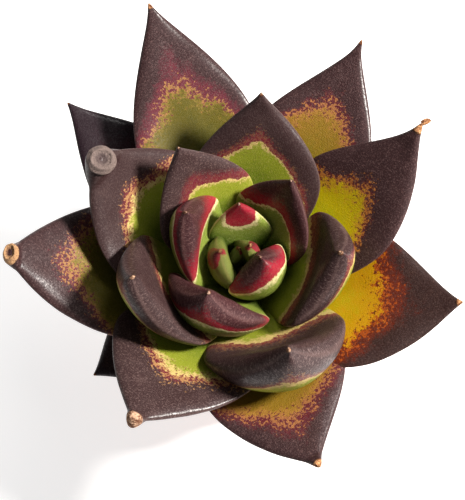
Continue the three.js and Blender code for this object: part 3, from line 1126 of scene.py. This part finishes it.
@dataclass(frozen=True)
class ClayPot:
    """A plain fired clay pot with a collar and drain holes, in millimetres."""

    height: float = 47.0
    base_radius: float = 21.0
    rim_radius: float = 32.0
    collar: float = 13.0
    collar_step: float = 2.2
    wall: float = 3.0
    floor: float = 4.0
    holes: int = 3
    hole_radius: float = 2.2
    hole_circle: float = 11.0
    clay: Terracotta = Terracotta()

    def outer(self, height: float) -> float:
        """Gives the body's outer radius at a height."""
        under = self.rim_radius - self.collar_step
        return self.base_radius + (under - self.base_radius) * height / (self.height - self.collar)

    def inner(self, height: float) -> float:
        """Gives the inner radius at a height."""
        low = self.outer(self.floor) - self.wall
        high = self.rim_radius - self.wall - 1
        return low + (high - low) * (height - self.floor) / (self.height - self.floor)

    def build(self) -> None:
        """Models, drills and finishes the pot."""
        top, rim, collar = self.height, self.rim_radius, self.height - self.collar
        outline = [
            (self.base_radius - 0.9, 0), (self.base_radius - 0.3, 0.15), (self.base_radius, 0.7),
            (self.outer(10), 10), (self.outer(22), 22), (self.outer(collar - 1.2), collar - 1.2),
            (self.outer(collar) + 0.4, collar - 0.1), (rim - 1.0, collar), (rim - 0.45, collar + 0.25),
            (rim - 0.25, collar + 0.9), (rim - 0.1, collar + 6), (rim, top - 1.1), (rim - 0.25, top - 0.35),
            (rim - 0.9, top), (self.inner(top) + 0.9, top), (self.inner(top) + 0.25, top - 0.3),
            (self.inner(top - 1), top - 1), (self.inner(30), 30), (self.inner(14), 14),
            (self.inner(5), 5.2), (self.inner(4) - 1.2, 4.05), (self.inner(4) - 2.4, 4), (4.0, 4),
        ]
        piece = turned("clay_pot", outline, 128)
        for k in range(self.holes):
            self.drill(piece, math.pi / 2 + 2 * math.pi * k / self.holes)
        piece.select_set(True)
        bpy.ops.object.shade_smooth_by_angle(angle=math.radians(40))
        piece.data.materials.clear()
        piece.data.materials.append(self.clay.material())
        declare(piece, "pot")

    def drill(self, piece: bpy.types.Object, turn: float) -> None:
        """Drills one drain hole through the floor.

        Args:
            piece: the pot.
            turn: the hole's direction from the axis, in radians.
        """
        out = self.hole_circle
        centre = Vector((out * math.cos(turn), out * math.sin(turn), self.floor / 2))
        bpy.ops.object.select_all(action="DESELECT")
        bpy.ops.mesh.primitive_cylinder_add(
            vertices=32, radius=self.hole_radius * MM, depth=3 * self.floor * MM, location=centre * MM,
        )
        drill = bpy.context.active_object
        cut = piece.modifiers.new("hole", "BOOLEAN")
        cut.operation, cut.object, cut.solver = "DIFFERENCE", drill, "EXACT"
        bpy.ops.object.select_all(action="DESELECT")
        bpy.context.view_layer.objects.active = piece
        bpy.ops.object.modifier_apply(modifier=cut.name)
        bpy.data.objects.remove(drill, do_unlink=True)


@dataclass(frozen=True)
class Crumble:
    """A dry crumbly finish in three shades."""

    name: str
    middle: Colour
    dark: Colour
    light: Colour
    relief: float = 0.0008

    def material(self) -> bpy.types.Material:
        """Makes the finish.

        Returns:
            The material.
        """
        material, w, shader = new_material(self.name)
        place = w.place()
        lumps = w.grain(place, 420.0, 4.0, 0.7)
        specks = w.grain(place, 1300.0, 3.0, 0.7)
        colour = w.blend(w.spread(lumps, 0.38, 0.58), self.dark, self.middle)
        colour = w.blend(w.times(w.spread(specks, 0.54, 0.68), 0.7), colour, self.light)
        w.feed(shader.inputs["Base Color"], colour)
        shader.inputs["Roughness"].default_value = 0.95
        add_bump(w, shader, w.maths("ADD", lumps, w.times(specks, 0.7)), self.relief)
        return material


@dataclass(frozen=True)
class SoilBed:
    """The potting mix: an uneven bed with bark crumbs and white grit on it, in millimetres."""

    pot: ClayPot = ClayPot()
    drop: float = 3.2
    dome: float = 1.1
    lip: float = 0.3
    gap: float = 0.3
    socket: float = 4.5
    socket_depth: float = 8.3
    rings: int = 24
    crumbs: int = 260
    crumb_sizes: tuple[float, float] = (0.5, 1.4)
    grit: int = 110
    grit_sizes: tuple[float, float] = (0.4, 1.1)
    mix: Crumble = Crumble("potting_mix", paint(58, 42, 32), paint(24, 17, 13), paint(108, 82, 58))
    bark: Crumble = Crumble("bark", paint(92, 62, 40), paint(44, 28, 19), paint(134, 100, 68))
    stone: Crumble = Crumble("grit", paint(206, 200, 190), paint(150, 142, 130), paint(232, 228, 220))

    def top(self) -> float:
        """Gives the height of the bed at the wall."""
        return self.pot.height - self.drop

    def wall(self) -> float:
        """Gives the bed's radius at its top."""
        return self.pot.inner(self.top()) - self.gap

    def level(self, share: float) -> float:
        """Gives the bed's height a share of the way from the wall (0) to the stem (1)."""
        return self.top() - self.lip + (self.dome + self.lip) * math.sin(math.pi * 0.62 * share)

    def build(self) -> None:
        """Models the bed and everything that lies on it."""
        dice = random.Random(7)
        pieces = (
            (self.bed(), self.mix),
            (self.scatter("soil_bark", self.crumbs, self.crumb_sizes, dice), self.bark),
            (self.scatter("soil_grit", self.grit, self.grit_sizes, dice), self.stone),
        )
        for piece, finish in pieces:
            piece.data.materials.append(finish.material())
            declare(piece, "soil")

    def bed(self) -> bpy.types.Object:
        """Models the bed, its surface broken up, with a socket for the stem.

        Returns:
            The piece, not yet finished.
        """
        top, wall = self.top(), self.wall()
        low = self.pot.floor + self.gap
        outline = [
            (self.socket - 0.6, low), (self.pot.inner(low) - self.gap, low),
            (self.pot.inner(20) - self.gap, 20), (wall, top - self.lip),
        ]
        for step in range(1, self.rings + 1):
            share = step / self.rings
            outline.append((wall - (wall - self.socket) * share, self.level(share)))
        outline += [(self.socket, top - 3), (self.socket, top - self.socket_depth)]
        piece = turned("soil_bed", outline, 96)
        points = read_points(piece.data) / MM
        for point in points:
            out = math.hypot(point[0], point[1])
            if point[2] > top - 0.4:
                calm = float(smooth((wall + 0.1 - out) / 1.5) * smooth((out - self.socket) / 1.5))
                rough = 0.6 * noise.noise(Vector(point) * 0.35) + 0.5 * noise.noise(Vector(point) * 1.1)
                point[2] += calm * rough
        write_points(piece.data, points)
        bpy.ops.object.shade_smooth_by_angle(angle=math.radians(50))
        return piece

    def scatter(
        self, name: str, count: int, sizes: tuple[float, float], dice: random.Random
    ) -> bpy.types.Object:
        """Lays copies of one small stone over the bed and joins them.

        Args:
            name: the piece's name.
            count: how many.
            sizes: the smallest and largest across.
            dice: the source of chance, seeded so that every run is the same.

        Returns:
            The joined piece, at the origin.
        """
        bpy.ops.object.select_all(action="DESELECT")
        bpy.ops.mesh.primitive_ico_sphere_add(subdivisions=1, radius=0.5 * MM, location=(0, 0, 0))
        model = bpy.context.active_object
        model.name = model.data.name = name
        copies = []
        wall = self.wall()
        for _ in range(count):
            out = math.sqrt(dice.uniform((self.socket + 2.0) ** 2, (wall - 1.2) ** 2))
            turn = dice.uniform(0, 2 * math.pi)
            level = self.level((wall - out) / (wall - self.socket))
            copy = model.copy()
            copy.data = model.data.copy()
            size = dice.uniform(*sizes)
            copy.scale = (size * dice.uniform(0.8, 1.5), size, size * dice.uniform(0.5, 0.9))
            copy.rotation_euler = (dice.uniform(-0.4, 0.4), dice.uniform(-0.4, 0.4), dice.uniform(0, 6.28))
            copy.location = Vector((out * math.cos(turn), out * math.sin(turn), level + 0.12 * size)) * MM
            bpy.context.scene.collection.objects.link(copy)
            copies.append(copy)
        model.scale = (0.5, 0.5, 0.5)
        model.location = Vector((12.0, 6.0, self.top() + 0.6)) * MM
        bpy.ops.object.select_all(action="DESELECT")
        for copy in copies:
            copy.select_set(True)
        model.select_set(True)
        bpy.context.view_layer.objects.active = model
        bpy.ops.object.join()
        bpy.ops.object.transform_apply(location=True, rotation=True, scale=True)
        return model


@dataclass(frozen=True)
class StemBark:
    """The stem's skin: green wood under drying bark."""

    relief: float = 0.0004

    def material(self) -> bpy.types.Material:
        """Makes the finish.

        Returns:
            The material.
        """
        material, w, shader = new_material("stem_bark")
        place = w.place()
        patches = w.grain(place, 260.0, 4.0, 0.65)
        colour = w.blend(w.spread(patches, 0.4, 0.62), paint(104, 96, 58), paint(146, 128, 92))
        colour = w.blend(w.spread(w.grain(place, 900.0, 3.0, 0.7), 0.56, 0.7), colour, paint(86, 60, 42))
        w.feed(shader.inputs["Base Color"], colour)
        shader.inputs["Roughness"].default_value = 0.75
        add_bump(w, shader, patches, self.relief)
        return material


@dataclass(frozen=True)
class Stem:
    """The short stem that carries the leaves, ringed by old leaf scars, in millimetres."""

    bed: SoilBed = SoilBed()
    root_radius: float = 4.2
    root_depth: float = 8.0
    ridge: float = 0.28
    rings: int = 60
    bark: StemBark = StemBark()

    def build(self) -> None:
        """Models and finishes the stem."""
        soil = self.bed.top()
        foot = soil - self.root_depth
        rough = [
            (self.root_radius * 0.7, foot), (self.root_radius, foot + 1.5), (self.root_radius, soil + 1.5),
            (6.4, soil + 5), (8.6, 52.5), (8.8, 55), (7.2, 58), (4.6, 61), (2.6, 63.4), (0.5, 64.5),
        ]
        levels = np.linspace(rough[0][1], rough[-1][1], self.rings)
        radii = np.interp(levels, [z for _, z in rough], [r for r, _ in rough])
        ridges = -self.ridge * (0.5 + 0.5 * np.cos(levels * 2.6)) * smooth((levels - soil + 1) / 2)
        outline = [(max(float(r + d), 0.3), float(z)) for r, d, z in zip(radii, ridges, levels)]
        piece = turned("stem_core", outline, 48)
        bpy.ops.object.shade_smooth()
        piece.data.materials.append(self.bark.material())
        declare(piece, "stem")


# ---------------------------------------------------------------- stage


@dataclass(frozen=True)
class Lamp:
    """One round area light that faces the plant: degrees, metres and watts."""

    name: str
    azimuth: float
    elevation: float
    distance: float
    size: float
    power: float
    colour: tuple[float, float, float]

    def build(self, target: Vector) -> None:
        """Adds the light.

        Args:
            target: the place in the plant that it faces, in metres.
        """
        turn, tilt = math.radians(self.azimuth), math.radians(self.elevation)
        way = Vector((math.cos(tilt) * math.cos(turn), math.cos(tilt) * math.sin(turn), math.sin(tilt)))
        data = bpy.data.lights.new(self.name, "AREA")
        data.shape = "DISK"
        data.size = self.size
        data.energy = self.power
        data.color = self.colour
        light = bpy.data.objects.new(self.name, data)
        light.location = target + way * self.distance
        light.rotation_euler = way.to_track_quat("Z", "Y").to_euler()
        bpy.context.scene.collection.objects.link(light)


@dataclass(frozen=True)
class Studio:
    """The pale floor, the lights and the camera. None of it is part of the plant."""

    target: tuple[float, float, float] = (0.0, 0.0, 76.0)
    elevation: float = 68.0
    distance: float = 480.0
    lens: float = 132.9
    shift: float = -0.021
    sky: float = 0.23
    floor_shade: float = 0.6
    floor_glow: float = 0.7
    lamps: tuple[Lamp, ...] = (
        Lamp("key", 3, 44, 0.75, 0.14, 19.0, (1.0, 0.96, 0.91)),
        Lamp("high", 60, 50, 0.9, 0.3, 2.5, (1.0, 0.98, 0.95)),
    )

    def build(self) -> None:
        """Sets up the camera, the floor and the lights."""
        self.add_camera()
        self.add_floor()
        self.add_lights()

    def add_camera(self) -> None:
        """Places the camera above the front of the plant, looking down on it."""
        tilt = math.radians(self.elevation)
        away = Vector((0.0, -math.cos(tilt), math.sin(tilt)))
        data = bpy.data.cameras.new("camera")
        data.lens = self.lens
        data.sensor_width = 36.0
        data.shift_x = self.shift
        camera = bpy.data.objects.new("camera", data)
        camera.location = Vector(self.target) * MM + away * self.distance * MM
        camera.rotation_euler = (math.pi / 2 - tilt, 0.0, 0.0)
        bpy.context.scene.collection.objects.link(camera)
        bpy.context.scene.camera = camera

    def add_floor(self) -> None:
        """Lays a plain pale floor under the pot."""
        bpy.ops.object.select_all(action="DESELECT")
        bpy.ops.mesh.primitive_plane_add(size=6.0, location=(0, 0, -0.0002))
        floor = bpy.context.active_object
        floor.name = "floor"
        material, _, shader = new_material("floor_paper")
        shader.inputs["Base Color"].default_value = (*[self.floor_shade] * 3, 1)
        shader.inputs["Roughness"].default_value = 0.9
        shader.inputs["Emission Color"].default_value = (1, 1, 1, 1)
        shader.inputs["Emission Strength"].default_value = self.floor_glow
        floor.data.materials.append(material)

    def add_lights(self) -> None:
        """Adds an even white sky, a warm key from the right and a weak light from behind it."""
        world = bpy.data.worlds.new("sky")
        world.use_nodes = True
        background = world.node_tree.nodes["Background"]
        background.inputs["Color"].default_value = (1.0, 1.0, 1.0, 1)
        background.inputs["Strength"].default_value = self.sky
        bpy.context.scene.world = world
        bpy.context.scene.view_settings.view_transform = "Standard"
        for lamp in self.lamps:
            lamp.build(Vector(self.target) * MM)


def main() -> None:
    """Builds the plant around the frame, one sub-assembly at a time."""
    logging.basicConfig(level=logging.INFO, format="%(name)s: %(message)s")
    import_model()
    bpy.ops.object.select_all(action="DESELECT")
    Studio().build()
    LOG.info("studio ready")
    ClayPot().build()
    SoilBed().build()
    Stem().build()
    Rosette().build()
    LOG.info("rosette ready")


if __name__ == "__main__":
    main()
